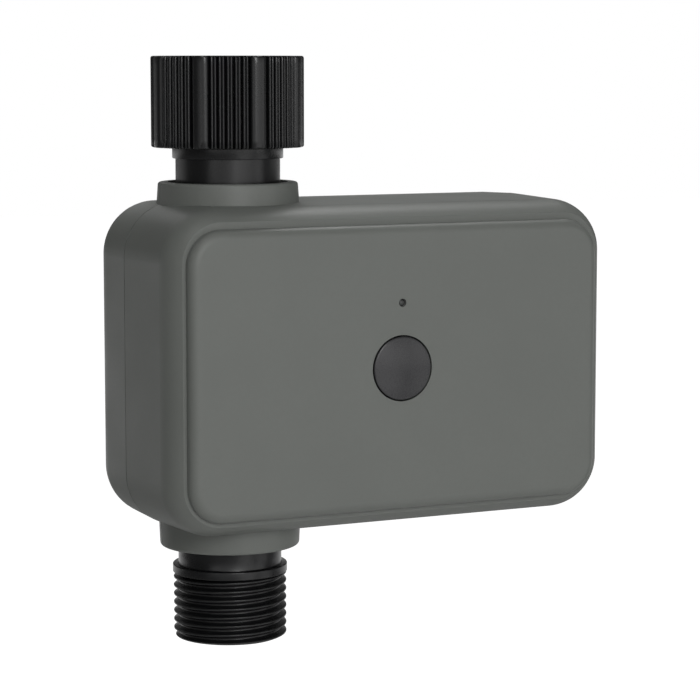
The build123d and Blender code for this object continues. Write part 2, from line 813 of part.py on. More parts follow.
with BuildPart() as valve_stem:
    with BuildSketch(side_plane(stem_slot_floor)):
        Rectangle(stem_slot_length - 2 * running_clearance, stem_slot_width - 2 * running_clearance)
    extrude(amount=ball_r + ball_clearance - stem_slot_floor)
    with BuildSketch(side_plane(ball_r + ball_clearance)):
        Circle(stem_r)
    extrude(amount=gearbox_right_x - ball_r - ball_clearance)
    for place in stem_ring_places:
        with BuildSketch(side_plane(place - stem_ring_width / 2)):
            Circle(stem_r)
            Circle(stem_r - stem_ring_depth, mode=Mode.SUBTRACT)
        extrude(amount=stem_ring_width, mode=Mode.SUBTRACT)

with BuildPart() as stem_seals:
    stem_ring_r = (stem_ring_depth + running_clearance) / 2
    for place in stem_ring_places:
        with Locations(Location((place, 0, ball_z), (0, 90, 0))):
            Torus(stem_r - stem_ring_depth + stem_ring_r, stem_ring_r)

output_wheel = gear(output_x, output_centre, output_teeth, compound_direction, gear_width, stem_r)
small_wheel = gear(
    output_x,
    compound_centre,
    small_teeth,
    facing_gap(small_teeth, compound_direction),
    gear_width + gear_gap,
    gear_pin_r + running_clearance,
)
large_wheel = gear(
    large_x, compound_centre, large_teeth, motor_direction, large_gear_width, gear_pin_r + running_clearance
)
pinion_wheel = gear(
    large_x,
    motor_centre,
    pinion_teeth,
    facing_gap(pinion_teeth, motor_direction),
    large_gear_width,
    motor_shaft_r,
)

with BuildPart() as output_gear:
    add(output_wheel)

with BuildPart() as compound_gear:
    add(small_wheel)
    add(large_wheel)

with BuildPart() as motor_pinion:
    add(pinion_wheel)

# Gearbox case and lid share one outline, seen along the stem
gearbox_width = gearbox_high_y - gearbox_low_y
gearbox_height = gearbox_above + gearbox_below
gearbox_centre = (
    (gearbox_high_y + gearbox_low_y) / 2,
    ball_z + (gearbox_above - gearbox_below) / 2,
)
screw_y = gearbox_width / 2 - gearbox_screw_inset
screw_z = gearbox_height / 2 - gearbox_screw_inset
gearbox_screw_places = [(-screw_y, screw_z), (-screw_y, -screw_z), (gearbox_third_screw, screw_z)]

# Bearing holes through the gearbox, for the stem and for the compound gear's pin
with BuildPart() as stem_passage:
    with BuildSketch(side_plane(0)):
        Circle(stem_r + running_clearance)
    extrude(amount=gearbox_right_x)

with BuildPart() as pin_passage:
    with BuildSketch(side_plane(gearbox_left, *compound_centre)):
        Circle(gear_pin_r)
    extrude(amount=gearbox_depth + gearbox_lid)

with BuildPart() as gearbox_case:
    with BuildSketch(side_plane(gearbox_left, *gearbox_centre)):
        RectangleRounded(gearbox_width, gearbox_height, gearbox_corner_r)
    extrude(amount=gearbox_depth)
    with BuildSketch(side_plane(gearbox_floor_x, *gearbox_centre)):
        RectangleRounded(
            gearbox_width - 2 * gearbox_wall,
            gearbox_height - 2 * gearbox_wall,
            gearbox_corner_r - gearbox_wall,
        )
    extrude(amount=gearbox_depth, mode=Mode.SUBTRACT)
    with BuildSketch(side_plane(gearbox_left, *gearbox_centre)):
        with Locations(gearbox_screw_places):
            Circle(2 * gearbox_screw_r)
    extrude(amount=gearbox_depth)
    with BuildSketch(side_plane(gearbox_left, *gearbox_centre)):
        with Locations(gearbox_screw_places):
            Circle(gearbox_screw_r)
    extrude(amount=gearbox_depth, mode=Mode.SUBTRACT)
    add(stem_passage.part, mode=Mode.SUBTRACT)
    add(pin_passage.part, mode=Mode.SUBTRACT)

with BuildPart() as gearbox_cover:
    with BuildSketch(side_plane(gearbox_lid_x, *gearbox_centre)):
        RectangleRounded(gearbox_width, gearbox_height, gearbox_corner_r)
        with Locations(gearbox_screw_places):
            Circle(gearbox_screw_r, mode=Mode.SUBTRACT)
    extrude(amount=gearbox_lid)
    with BuildSketch(side_plane(gearbox_lid_x, *motor_centre)):
        Circle(motor_boss_r)
    extrude(amount=gearbox_lid, mode=Mode.SUBTRACT)
    add(stem_passage.part, mode=Mode.SUBTRACT)
    add(pin_passage.part, mode=Mode.SUBTRACT)

with BuildPart() as gearbox_screws:
    with BuildSketch(side_plane(gearbox_left, *gearbox_centre)):
        with Locations(gearbox_screw_places):
            Circle(gearbox_screw_r)
    extrude(amount=gearbox_depth + gearbox_lid)
    with BuildSketch(side_plane(gearbox_right_x, *gearbox_centre)):
        with Locations(gearbox_screw_places):
            Circle(gearbox_screw_head_r)
    extrude(amount=gearbox_screw_head)

with BuildPart() as gear_pin:
    with BuildSketch(side_plane(gearbox_left, *compound_centre)):
        Circle(gear_pin_r)
    extrude(amount=gearbox_depth + gearbox_lid)

# Geared motor: a square gearhead, a flat-sided can and an end cap
motor_can_x = gearbox_right_x + motor_gearhead
motor_end_x = motor_can_x + motor_can

with BuildPart() as gear_motor:
    with BuildSketch(side_plane(gearbox_right_x, *motor_centre)):
        Rectangle(motor_width, motor_height)
    extrude(amount=motor_gearhead)
    with BuildSketch(side_plane(motor_can_x, *motor_centre)):
        RectangleRounded(motor_width, motor_height, (motor_height - motor_flat) / 2)
    extrude(amount=motor_can)
    with BuildSketch(side_plane(motor_end_x, *motor_centre)):
        Circle(motor_boss_r)
    extrude(amount=motor_end)
    with BuildSketch(side_plane(gearbox_right_x, *motor_centre)):
        Circle(motor_boss_r)
    extrude(amount=-gearbox_lid)
    with BuildSketch(side_plane(gearbox_lid_x, *motor_centre)):
        Circle(motor_shaft_r + running_clearance)
    extrude(amount=gearbox_lid + motor_gearhead, mode=Mode.SUBTRACT)

with BuildPart() as motor_shaft:
    with BuildSketch(side_plane(large_x, *motor_centre)):
        Circle(motor_shaft_r)
    extrude(amount=motor_can_x - large_x - motor_shaft_gap)

# Button and its seal
button_front_y = -panel_reach - button_proud
button_flange_y = panel_back_y + button_flange_gap
plunger_tip_y = button_flange_y + button_flange + button_flange_gap
dome_r = (button_r**2 + button_dome**2) / (2 * button_dome)

with BuildPart() as button_cap:
    with BuildSketch(panel_plane(button_flange_y)):
        Circle(button_r)
    extrude(amount=button_flange_y - button_front_y)
    with Locations((panel_mid_x, button_front_y + dome_r, panel_mid_z)):
        Sphere(dome_r, mode=Mode.INTERSECT)
    with BuildSketch(panel_plane(button_flange_y + button_flange)):
        Circle(button_flange_r)
    extrude(amount=button_flange)
    with BuildSketch(panel_plane(plunger_tip_y)):
        Circle(button_stem_r)
    extrude(amount=plunger_tip_y - button_flange_y)

with BuildPart() as button_seal:
    with BuildSketch(panel_plane(board_front_y)):
        Circle(well_r + well_wall)
        Circle(well_r, mode=Mode.SUBTRACT)
    extrude(amount=button_seal_height)

with BuildPart() as switch_body:
    with BuildSketch(panel_plane(board_front_y)):
        RectangleRounded(switch_size, switch_size, switch_corner_r)
    extrude(amount=switch_height)
    with BuildSketch(panel_plane(switch_front_y)):
        Circle(switch_plunger_r + swivel_clearance)
    extrude(amount=-plunger_seat - button_travel, mode=Mode.SUBTRACT)

with BuildPart() as switch_plunger:
    with BuildSketch(panel_plane(switch_front_y + plunger_seat - button_flange_gap)):
        Circle(switch_plunger_r)
    extrude(amount=switch_front_y + plunger_seat - button_flange_gap - plunger_tip_y)

with BuildPart() as light_pipe:
    with BuildSketch(panel_plane(light_recess - panel_reach, light_above_button)):
        Circle(light_hole_r)
    extrude(amount=light_recess - panel_reach - panel_back_y)
    with BuildSketch(panel_plane(panel_back_y, light_above_button)):
        Circle(light_flange_r)
    extrude(amount=-light_flange)
    with BuildSketch(panel_plane(panel_back_y, light_above_button)):
        Circle(light_pin_r)
    extrude(amount=panel_back_y - board_front_y + light_chip[2])

with BuildPart() as status_light:
    with BuildSketch(panel_plane(board_front_y, light_above_button)):
        Rectangle(light_chip[0], light_chip[1])
    extrude(amount=light_chip[2])

with BuildPart() as main_board:
    with BuildSketch(face_plane(board_back_y, board_mid_x, board_mid_z)):
        RectangleRounded(board_width, board_height, board_corner_r)
        with Locations(board_boss_places):
            Circle(board_screw_r, mode=Mode.SUBTRACT)
    extrude(amount=board_thickness)

with BuildPart() as board_screws:
    with BuildSketch(face_plane(board_back_y, board_mid_x, board_mid_z)):
        with Locations(board_boss_places):
            Circle(board_screw_r)
    extrude(amount=board_screw_length)
    with BuildSketch(face_plane(board_back_y, board_mid_x, board_mid_z)):
        with Locations(board_boss_places):
            Circle(board_screw_head_r)
    extrude(amount=-board_screw_head)

with BuildPart() as radio_module:
    with BuildSketch(face_plane(board_front_y, board_mid_x, board_mid_z)):
        with Locations(radio_place):
            Rectangle(*radio_size)
    extrude(amount=radio_board)
    with BuildSketch(face_plane(board_front_y - radio_board, board_mid_x, board_mid_z)):
        with Locations((radio_place[0] - radio_antenna / 2, radio_place[1])):
            Rectangle(radio_size[0] - radio_antenna, radio_size[1] - radio_board)
    extrude(amount=radio_can)

with BuildPart() as capacitor:
    capacitor_x = board_mid_x + capacitor_place[0]
    capacitor_y = board_back_y + capacitor_r
    with BuildSketch(side_plane(capacitor_x, capacitor_y, board_mid_z + capacitor_place[1])):
        Circle(capacitor_r)
    extrude(amount=capacitor_length)

with BuildPart() as board_connectors:
    with BuildSketch(face_plane(board_back_y, board_mid_x, board_mid_z)):
        with Locations(connector_places):
            Rectangle(*connector_size)
    extrude(amount=-connector_height)

pieces = {
    "front_cover": front_cover,
    "rear_housing": rear_housing,
    "seam_seal": seam_seal,
    "case_screws": case_screws,
    "battery_door": battery_door,
    "door_seal": door_seal,
    "door_screws": door_screws,
    "battery_cells": battery_cells,
    "contact_plates": contact_plates,
    "battery_springs": battery_springs,
    "button_cap": button_cap,
    "button_seal": button_seal,
    "switch_body": switch_body,
    "switch_plunger": switch_plunger,
    "light_pipe": light_pipe,
    "status_light": status_light,
    "main_board": main_board,
    "board_screws": board_screws,
    "radio_module": radio_module,
    "capacitor": capacitor,
    "board_connectors": board_connectors,
    "swivel_nut": swivel_nut,
    "inlet_washer": inlet_washer,
    "filter_screen": filter_screen,
    "inlet_tube": inlet_tube,
    "outlet_tube": outlet_tube,
    "neck_seals": neck_seals,
    "valve_body": valve_body,
    "tube_seals": tube_seals,
    "ball_seats": ball_seats,
    "valve_ball": valve_ball,
    "valve_stem": valve_stem,
    "stem_seals": stem_seals,
    "gearbox_case": gearbox_case,
    "gearbox_cover": gearbox_cover,
    "gearbox_screws": gearbox_screws,
    "gear_pin": gear_pin,
    "output_gear": output_gear,
    "compound_gear": compound_gear,
    "motor_pinion": motor_pinion,
    "motor_shaft": motor_shaft,
    "gear_motor": gear_motor,
}

os.makedirs("parts", exist_ok=True)
for label, piece in pieces.items():
    piece.part.label = label
    export_step(piece.part, f"parts/{label}.step")
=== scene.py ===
import json
import math

import bmesh
import bpy
from mathutils import Matrix, Vector


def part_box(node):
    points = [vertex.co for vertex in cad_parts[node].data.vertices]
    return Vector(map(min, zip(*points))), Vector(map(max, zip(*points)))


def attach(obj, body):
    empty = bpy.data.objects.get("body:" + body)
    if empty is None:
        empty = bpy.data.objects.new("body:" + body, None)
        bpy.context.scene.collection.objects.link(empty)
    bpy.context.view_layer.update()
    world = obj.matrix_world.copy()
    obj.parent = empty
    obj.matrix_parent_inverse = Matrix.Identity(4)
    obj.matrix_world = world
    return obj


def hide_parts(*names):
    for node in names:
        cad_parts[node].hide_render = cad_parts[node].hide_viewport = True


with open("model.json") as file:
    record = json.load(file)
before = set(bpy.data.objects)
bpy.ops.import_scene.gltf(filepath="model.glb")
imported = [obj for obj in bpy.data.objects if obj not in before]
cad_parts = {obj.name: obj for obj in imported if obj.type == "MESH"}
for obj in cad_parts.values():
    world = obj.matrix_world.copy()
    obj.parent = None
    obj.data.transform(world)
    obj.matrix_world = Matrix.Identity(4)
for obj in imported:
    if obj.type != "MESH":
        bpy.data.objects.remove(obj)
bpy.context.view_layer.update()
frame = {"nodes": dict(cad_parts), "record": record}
nodes = frame["nodes"]
scene = bpy.context.scene

MM = 0.001

# Camera, found from the photograph's outline: it stands at the front left, a little above the middle
CAMERA_PLACE = Vector((-0.23596, -0.54087, -0.00213))
CAMERA_AZIMUTH = math.radians(-26.366)
CAMERA_ELEVATION = math.radians(6.514)
CAMERA_LENS = 128.40       # on a 36 mm sensor


def view_back(azimuth, elevation):
    """Direction from the object to a camera or light at that azimuth and elevation."""
    return Vector((
        math.sin(azimuth) * math.cos(elevation),
        -math.cos(azimuth) * math.cos(elevation),
        math.sin(elevation),
    ))


def add_camera():
    data = bpy.data.cameras.new("camera")
    data.lens = CAMERA_LENS
    data.sensor_width = 36.0
    data.clip_start = 0.01
    data.clip_end = 20.0
    camera = bpy.data.objects.new("camera", data)
    scene.collection.objects.link(camera)
    camera.location = CAMERA_PLACE
    back = view_back(CAMERA_AZIMUTH, CAMERA_ELEVATION)
    camera.rotation_euler = back.to_track_quat("Z", "Y").to_euler()
    scene.camera = camera


add_camera()


# Materials

CLOUD_SIZE = 0.018         # metres across a cloud in a plastic's shade and gloss
WEAR_REACH = 0.0004        # metres of polished plastic at an edge
EDGE_ROUNDING = 0.00012    # radius in metres that every plastic edge is shaded with
BEVEL_SAMPLES = 4


def node_material(name):
    """Material with an empty node tree, its Principled shader and object coordinates in metres."""
    material = bpy.data.materials.new(name)
    material.use_nodes = True
    tree = material.node_tree
    tree.nodes.clear()
    output = tree.nodes.new("ShaderNodeOutputMaterial")
    shader = tree.nodes.new("ShaderNodeBsdfPrincipled")
    tree.links.new(shader.outputs["BSDF"], output.inputs["Surface"])
    place = tree.nodes.new("ShaderNodeTexCoord")
    return material, tree, shader, place.outputs["Object"]


def noise(tree, place, size, detail=2.0, roughness=0.5, stretch=None):
    """Noise with features about that size in metres; stretch scales the coordinates along each axis."""
    if stretch:
        mapping = tree.nodes.new("ShaderNodeMapping")
        mapping.inputs["Scale"].default_value = stretch
        tree.links.new(place, mapping.inputs["Vector"])
        place = mapping.outputs["Vector"]
    texture = tree.nodes.new("ShaderNodeTexNoise")
    texture.inputs["Scale"].default_value = 1.0 / size
    texture.inputs["Detail"].default_value = detail
    texture.inputs["Roughness"].default_value = roughness
    tree.links.new(place, texture.inputs["Vector"])
    return texture.outputs["Fac"]


def ramp(tree, value, low, high, out_low, out_high):
    """Value mapped from low..high to out_low..out_high, clamped."""
    node = tree.nodes.new("ShaderNodeMapRange")
    node.inputs["From Min"].default_value = low
    node.inputs["From Max"].default_value = high
    node.inputs["To Min"].default_value = out_low
    node.inputs["To Max"].default_value = out_high
    tree.links.new(value, node.inputs["Value"])
    return node.outputs["Result"]


def noise_ramp(tree, value, out_low, out_high):
    """Noise, which mostly lies between 0.3 and 0.7, spread over out_low..out_high."""
    return ramp(tree, value, 0.3, 0.7, out_low, out_high)


def math_node(tree, operation, a, b):
    """Result of an operation on two values, each a number or a socket."""
    node = tree.nodes.new("ShaderNodeMath")
    node.operation = operation
    for socket, value in zip(node.inputs, (a, b)):
        if isinstance(value, (int, float)):
            socket.default_value = value
        else:
            tree.links.new(value, socket)
    return node.outputs["Value"]


def mix_colour(tree, factor, a, b):
    """Colour between a and b, each three numbers or a socket; factor is a socket."""
    node = tree.nodes.new("ShaderNodeMix")
    node.data_type = "RGBA"
    tree.links.new(factor, node.inputs["Factor"])
    for socket, value in (("A", a), ("B", b)):
        target = [s for s in node.inputs if s.name == socket and s.type == "RGBA"][0]
        if isinstance(value, (tuple, list)):
            target.default_value = (*value, 1.0)
        else:
            tree.links.new(value, target)
    return [s for s in node.outputs if s.type == "RGBA"][0]


def shade(colour, factor):
    return tuple(c * factor for c in colour)


def edge_wear(tree, reach):
    """How sharp a convex edge is here, from the spread of nearby normals, as 0 to 1."""
    bevel = tree.nodes.new("ShaderNodeBevel")
    bevel.samples = BEVEL_SAMPLES
    bevel.inputs["Radius"].default_value = reach
    geometry = tree.nodes.new("ShaderNodeNewGeometry")
    dot = tree.nodes.new("ShaderNodeVectorMath")
    dot.operation = "DOT_PRODUCT"
    tree.links.new(bevel.outputs["Normal"], dot.inputs[0])
    tree.links.new(geometry.outputs["Normal"], dot.inputs[1])
    return ramp(tree, dot.outputs["Value"], 0.995, 0.85, 0.0, 1.0)


def add_bump(tree, shader, height, distance, strength=1.0, rounding=0.0):
    """Bump of that many metres; with a rounding, edges are shaded with that radius too."""
    bump = tree.nodes.new("ShaderNodeBump")
    bump.inputs["Strength"].default_value = strength
    bump.inputs["Distance"].default_value = distance
    tree.links.new(height, bump.inputs["Height"])
    if rounding:
        edge = tree.nodes.new("ShaderNodeBevel")
        edge.samples = BEVEL_SAMPLES
        edge.inputs["Radius"].default_value = rounding
        tree.links.new(edge.outputs["Normal"], bump.inputs["Normal"])
    tree.links.new(bump.outputs["Normal"], shader.inputs["Normal"])


def plastic(name, colour, roughness, grain=0.00035, depth=0.00001, mottle=0.05, wear=0.12, specular=0.5):
    """Moulded plastic: fine eroded grain, cloudy gloss, faint flow shade and slightly polished edges.
    Grain and depth are its width and height in metres; mottle and wear are shares of the shade."""
    material, tree, shader, place = node_material(name)
    clouds = noise(tree, place, CLOUD_SIZE, 3.0)
    fine = noise(tree, place, grain, 3.0, 0.6)
    specks = noise(tree, place, grain * 2.7, 1.0)
    flow = noise_ramp(tree, clouds, 0.0, 1.0)
    base = mix_colour(tree, flow, shade(colour, 1 - mottle), shade(colour, 1 + mottle))
    speck_share = ramp(tree, specks, 0.35, 0.75, 0.0, 0.35)
    speckled = mix_colour(tree, speck_share, base, shade(colour, 1 - 2 * mottle))
    worn_share = math_node(tree, "MULTIPLY", edge_wear(tree, WEAR_REACH), wear)
    worn = mix_colour(tree, worn_share, speckled, shade(colour, 1.6))
    tree.links.new(worn, shader.inputs["Base Color"])
    cloudy = noise_ramp(tree, clouds, roughness - 0.035, roughness + 0.035)
    grainy = noise_ramp(tree, fine, -0.03, 0.03)
    tree.links.new(math_node(tree, "ADD", cloudy, grainy), shader.inputs["Roughness"])
    shader.inputs["Specular IOR Level"].default_value = specular
    add_bump(tree, shader, fine, depth, 1.0, EDGE_ROUNDING)
    return material


def rubber(name, colour):
    """Moulded rubber: matt, dusty, with fine pores."""
    material, tree, shader, place = node_material(name)
    dust = noise(tree, place, 0.004, 4.0)
    pores = noise(tree, place, 0.0002, 2.0)
    dusty = mix_colour(tree, ramp(tree, dust, 0.4, 0.75, 0.0, 0.5), colour, shade(colour, 1.8))
    tree.links.new(dusty, shader.inputs["Base Color"])
    tree.links.new(noise_ramp(tree, dust, 0.64, 0.78), shader.inputs["Roughness"])
    shader.inputs["Specular IOR Level"].default_value = 0.35
    add_bump(tree, shader, pores, 0.00001)
    return material


def metal(name, colour, roughness, stretch=(1.0, 1.0, 1.0), scratch=0.0006):
    """Worked metal: fine marks, along one direction if stretched, cloudy gloss and slight tarnish."""
    material, tree, shader, place = node_material(name)
    marks = noise(tree, place, scratch, 3.0, 0.6, stretch)
    clouds = noise(tree, place, 0.006, 2.0)
    tarnished = mix_colour(tree, ramp(tree, clouds, 0.35, 0.75, 0.0, 1.0), colour, shade(colour, 0.85))
    tree.links.new(tarnished, shader.inputs["Base Color"])
    shader.inputs["Metallic"].default_value = 1.0
    cloudy = noise_ramp(tree, clouds, roughness - 0.05, roughness + 0.06)
    marked = noise_ramp(tree, marks, -0.05, 0.05)
    tree.links.new(math_node(tree, "ADD", cloudy, marked), shader.inputs["Roughness"])
    add_bump(tree, shader, marks, 0.000008, 0.6)
    return material


def lens(name, colour):
    """Frosted light pipe: dark translucent plastic with a rough end."""
    material, tree, shader, place = node_material(name)
    frost = noise(tree, place, 0.00015, 2.0)
    tree.links.new(mix_colour(tree, frost, shade(colour, 0.92), colour), shader.inputs["Base Color"])
    tree.links.new(noise_ramp(tree, frost, 0.3, 0.5), shader.inputs["Roughness"])
    shader.inputs["Transmission Weight"].default_value = 0.35
    shader.inputs["IOR"].default_value = 1.49
    add_bump(tree, shader, frost, 0.000008)
    return material


def circuit_board(name, colour):
    """Solder mask over copper: rows of traces show through as slightly raised, lighter lines."""
    material, tree, shader, place = node_material(name)
    mapping = tree.nodes.new("ShaderNodeMapping")
    mapping.inputs["Rotation"].default_value = (math.radians(90), 0, 0)
    tree.links.new(place, mapping.inputs["Vector"])
    brick = tree.nodes.new("ShaderNodeTexBrick")
    brick.inputs["Scale"].default_value = 160.0
    brick.inputs["Mortar Size"].default_value = 0.09
    brick.inputs["Mortar Smooth"].default_value = 0.1
    brick.inputs["Color1"].default_value = (*colour, 1.0)
    brick.inputs["Color2"].default_value = (*shade(colour, 0.85), 1.0)
    brick.inputs["Mortar"].default_value = (*shade(colour, 1.7), 1.0)
    tree.links.new(mapping.outputs["Vector"], brick.inputs["Vector"])
    weave = noise(tree, place, 0.0008, 2.0)
    woven_share = ramp(tree, weave, 0.4, 0.8, 0.0, 0.4)
    woven = mix_colour(tree, woven_share, brick.outputs["Color"], shade(colour, 0.7))
    tree.links.new(woven, shader.inputs["Base Color"])
    tree.links.new(noise_ramp(tree, weave, 0.25, 0.4), shader.inputs["Roughness"])
    add_bump(tree, shader, brick.outputs["Fac"], 0.00003)
    return material


looks = {
    "housing_plastic": plastic("housing_plastic", (0.146, 0.1545, 0.143), 0.46,
                               mottle=0.03, specular=0.42),
    "fitting_plastic": plastic("fitting_plastic", (0.0045, 0.0047, 0.0052), 0.30,
                               grain=0.0004, depth=0.000002, mottle=0.08, wear=0.2),
    "button_plastic": plastic("button_plastic", (0.033, 0.033, 0.035), 0.29,
                              grain=0.00025, depth=0.000002, mottle=0.04, wear=0.1),
    "light_lens": lens("light_lens", (0.10, 0.105, 0.10)),
    "seal_rubber": rubber("seal_rubber", (0.02, 0.02, 0.02)),
    "washer_rubber": rubber("washer_rubber", (0.035, 0.035, 0.036)),
    "seat_plastic": plastic("seat_plastic", (0.72, 0.72, 0.68), 0.4,
                            grain=0.0005, depth=0.000004, mottle=0.03, wear=0.0),
    "steel": metal("steel", (0.56, 0.56, 0.55), 0.32),
    "ball_metal": metal("ball_metal", (0.72, 0.72, 0.73), 0.14, scratch=0.0012),
    "gear_plastic": plastic("gear_plastic", (0.70, 0.68, 0.60), 0.42,
                            grain=0.0004, depth=0.000006, mottle=0.03, wear=0.0),
    "board": circuit_board("board", (0.02, 0.10, 0.045)),
    "dark_part": plastic("dark_part", (0.02, 0.02, 0.02), 0.5,
                         grain=0.0003, depth=0.000008, mottle=0.06, wear=0.1),
    "capacitor_sleeve": plastic("capacitor_sleeve", (0.02, 0.025, 0.05), 0.25,
                                grain=0.001, depth=0.000004, wear=0.0),
    "header_plastic": plastic("header_plastic", (0.72, 0.70, 0.60), 0.45,
                              grain=0.0004, depth=0.000006, mottle=0.04, wear=0.0),
    "cell_wrap": plastic("cell_wrap", (0.05, 0.055, 0.06), 0.28,
                         grain=0.0012, depth=0.000006, mottle=0.06, wear=0.0),
    "cell_band": plastic("cell_band", (0.42, 0.34, 0.20), 0.26,
                         grain=0.0012, depth=0.000006, wear=0.0),
    "screen_plastic": plastic("screen_plastic", (0.03, 0.03, 0.03), 0.5,
                              grain=0.0004, mottle=0.06, wear=0.0),
    "radio_can": metal("radio_can", (0.62, 0.62, 0.60), 0.3, stretch=(0.1, 1.0, 1.0)),
}
slot_of = {row["node"]: row["material_slot"] for row in frame["record"]["subparts"]}
for node, obj in nodes.items():
    obj.data.materials.clear()
    obj.data.materials.append(looks[slot_of[node]])


# Mesh helpers; points are in millimetres until make_piece scales them

def circle(sides):
    """Angles of that many evenly spaced points on a circle."""
    return [2 * math.pi * k / sides for k in range(sides)]


def steps(start, end, step):
    """Evenly spaced values from start to end, about a step apart."""
    count = max(1, round(abs(end - start) / step))
    return [start + (end - start) * i / count for i in range(count + 1)]


def ring_points(angles, radii, height):
    return [(r * math.cos(a), r * math.sin(a), height) for a, r in zip(angles, radii)]


def turned(profile, sides):
    """Rings of a turned shape round +Z, from pairs of radius and height."""
    return [[(r * math.cos(a), r * math.sin(a), z) for a in circle(sides)] for r, z in profile]


def turned_front(profile, x, z, sides):
    """Rings of a shape turned round an axis along Y, from pairs of radius and Y."""
    return [[(x + r * math.cos(a), y, z + r * math.sin(a)) for a in circle(sides)] for r, y in profile]


def append_rings(verts, faces, rings, closed=False):
    """Skin through rings of equally many points; the ends are joined if closed, or get a flat face."""
    base, count = len(verts), len(rings[0])
    verts += [tuple(p) for ring in rings for p in ring]
    for i in range(len(rings) if closed else len(rings) - 1):
        here, there = base + i * count, base + (i + 1) % len(rings) * count
        for k in range(count):
            after = (k + 1) % count
            faces.append((here + k, here + after, there + after, there + k))
    if not closed:
        faces.append(tuple(base + k for k in reversed(range(count))))
        faces.append(tuple(base + (len(rings) - 1) * count + k for k in range(count)))


def append_tube(verts, faces, path, radius, sides, closed=False):
    """Round wire along a path of points."""
    rings = []
    for i, point in enumerate(path):
        before = path[i - 1] if i or closed else path[i]
        after = path[(i + 1) % len(path)] if closed or i + 1 < len(path) else path[i]
        heading = (Vector(after) - Vector(before)).normalized()
        across = heading.cross(Vector((0.31, 0.53, 0.79))).normalized()    # any direction off the path
        up = across.cross(heading)
        rings.append([Vector(point) + radius * (math.cos(a) * across + math.sin(a) * up)
                      for a in circle(sides)])
    append_rings(verts, faces, rings, closed)


def outward_mesh(name, verts, faces, scale=1.0):
    """Mesh whose faces all look outwards."""
    mesh = bpy.data.meshes.new(name)
    mesh.from_pydata([[c * scale for c in v] for v in verts], [], faces)
    edit = bmesh.new()
    edit.from_mesh(mesh)
    bmesh.ops.recalc_face_normals(edit, faces=edit.faces)
    edit.to_mesh(mesh)
    edit.free()
    return mesh


def make_piece(name, verts, faces, body, node, sharp=28.0):
    """Piece that stands for a CAD node, with its look, and rides on its body; sharp is in degrees."""
    mesh = outward_mesh(name, verts, faces, MM)
    mesh.shade_smooth()
    mesh.set_sharp_from_angle(angle=math.radians(sharp))
    piece = bpy.data.objects.new(name, mesh)
    scene.collection.objects.link(piece)
    mesh.materials.append(looks[slot_of[node]])
    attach(piece, body)
    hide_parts(node)
    return piece


def ring_piece(name, rings, body, node):
    """Piece with a closed skin through those rings."""
    verts, faces = [], []
    append_rings(verts, faces, rings, closed=True)
    return make_piece(name, verts, faces, body, node)


def colour_bands(piece, kinds, *names):
    """Further looks on a piece: kinds says for each face which of its materials it has."""
    for name in names:
        piece.data.materials.append(looks[name])
    piece.data.polygons.foreach_set("material_index", kinds)


def islands(node):
    """Loose pieces of a CAD node, each as the lowest and highest corner of its box and its points."""
    mesh = bmesh.new()
    mesh.from_mesh(nodes[node].data)
    bmesh.ops.remove_doubles(mesh, verts=mesh.verts, dist=1e-6)
    mesh.verts.ensure_lookup_table()
    seen = set()
    found = []
    for start in mesh.verts:
        if start.index in seen:
            continue
        seen.add(start.index)
        stack, points = [start], []
        while stack:
            vert = stack.pop()
            points.append(vert.co / MM)
            for edge in vert.link_edges:
                other = edge.other_vert(vert)
                if other.index not in seen:
                    seen.add(other.index)
                    stack.append(other)
        low = Vector([min(p[k] for p in points) for k in range(3)])
        high = Vector([max(p[k] for p in points) for k in range(3)])
        found.append((low, high, points))
    mesh.free()
    return sorted(found, key=lambda row: tuple(round(c, 2) for c in (row[0] + row[1])))


def spread(points, middle, x):
    """Radius round an axis along X through middle, of the points in the plane at x."""
    return max(math.hypot(p.y - middle.y, p.z - middle.z) for p in points if abs(p.x - x) < 0.05)


# Hose threads, outlet and nut

THREAD_PITCH = 2.06
THREAD_PHASE = 0.479        # of a pitch: how far above z = 0 a crest lies on the +X side
THREAD_DEPTH = 1.3
CREST_HALF, FLANK = 0.12, 0.24    # of a pitch
THREAD_BLUR = (-0.07, -0.035, 0.0, 0.035, 0.07)    # of a pitch: the shape is the mean over these shifts


def thread_dip(angle, height):
    """How far a right-hand thread lies under its crest there, with soft edges."""
    turn = height / THREAD_PITCH - angle / (2 * math.pi) - THREAD_PHASE
    total = 0.0
    for shift in THREAD_BLUR:
        away = abs((turn + shift + 0.5) % 1.0 - 0.5)
        total += min(max((away - CREST_HALF) / FLANK, 0.0), 1.0)
    return THREAD_DEPTH * total / len(THREAD_BLUR)


